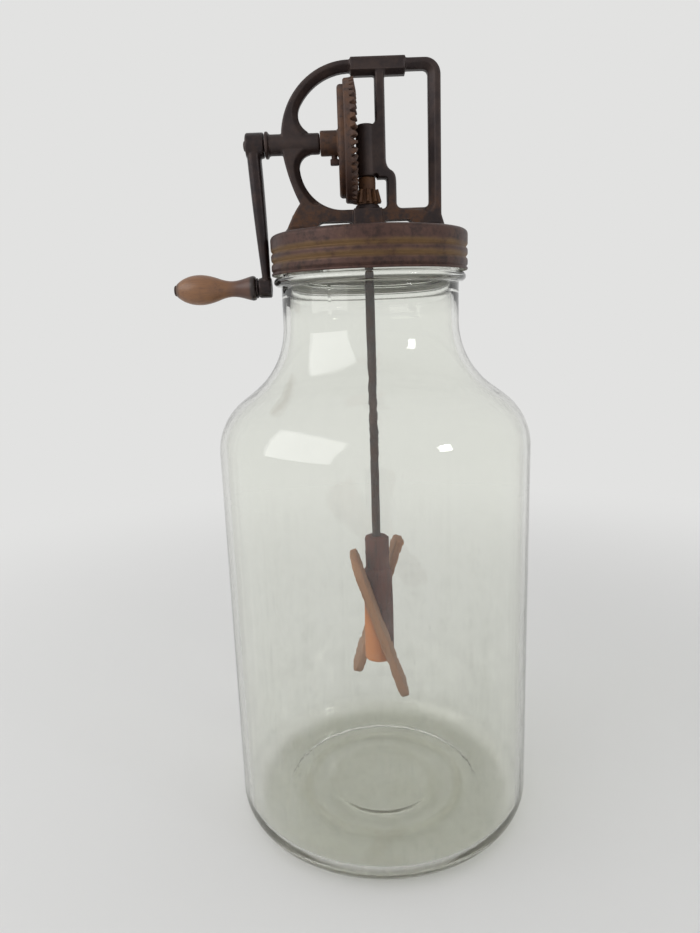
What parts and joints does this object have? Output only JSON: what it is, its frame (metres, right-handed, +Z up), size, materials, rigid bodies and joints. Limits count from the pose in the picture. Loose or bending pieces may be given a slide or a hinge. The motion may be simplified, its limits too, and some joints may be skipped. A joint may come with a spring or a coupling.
{
  "type": "butter churn",
  "caption": "Hand-cranked glass butter churn: a crank on an iron frame turns a wooden dasher in a tall glass jar through bevel gears.",
  "frame": {"origin": "centre of the jar's underside, on the line that the dasher's rod turns about", "axes": "+Z up along the rod, the crank's shaft runs along X and the handle is at the -X side, -Y towards the viewer of the picture"},
  "size_m": [0.2611, 0.2346, 0.5689],
  "materials": {
    "glass": "clear, thick pressed glass with a faint grey-green tint",
    "gasket": "matte",
    "tin": "rusted brown, worn",
    "iron": "dark brown-black, slightly rusty",
    "crank_iron": "black with a soft sheen",
    "gear_iron": "rust brown",
    "steel": "dark, oxidised",
    "grip_wood": "satin, worn",
    "hub_wood": "dark, matte",
    "blade_wood": "pale, matte"
  },
  "bodies": {
    "jar": {"glass_jar": "glass"},
    "seal": {"lid_gasket": "gasket"},
    "lid": {"screw_lid": "tin", "frame_casting": "iron", "frame_nut": "steel", "foot_rivet_left": "steel", "foot_rivet_right": "steel"},
    "crank": {"crank_shaft": "steel", "crank_arm": "crank_iron", "crank_screw": "steel", "handle_pin": "steel", "drive_gear": "gear_iron", "gear_set_screw": "steel"},
    "grip": {"handle_grip": "grip_wood", "grip_washer": "steel"},
    "dasher": {"pinion": "gear_iron", "pinion_pin": "steel", "dasher_rod": "steel", "dasher_hub": "hub_wood", "hub_pin": "steel", "blade_front": "blade_wood", "blade_back": "blade_wood"}
  },
  "joints": [
    {"name": "lid_lift", "type": "slide", "parent": "jar", "child": "seal", "axis": [0, 0, 1], "range_m": [0, 0.37]},
    {"name": "lid_turn", "type": "hinge", "parent": "seal", "child": "lid", "pos_m": [0, 0, 0.449], "axis": [0, 0, 1], "range_deg": [0, 468]},
    {"name": "crank_turn", "type": "hinge", "parent": "lid", "child": "crank", "pos_m": [0, 0, 0.5154], "axis": [1, 0, 0], "continuous": true},
    {"name": "grip_spin", "type": "hinge", "parent": "crank", "child": "grip", "pos_m": [-0.1, 0, 0.418], "axis": [1, 0, 0], "continuous": true},
    {"name": "dasher_spin", "type": "hinge", "parent": "lid", "child": "dasher", "pos_m": [0, 0, 0.3], "axis": [0, 0, 1], "continuous": true}
  ],
  "couplings": [
    {"joint": "dasher_spin", "follows": "crank_turn", "ratio": -4.6}
  ]
}
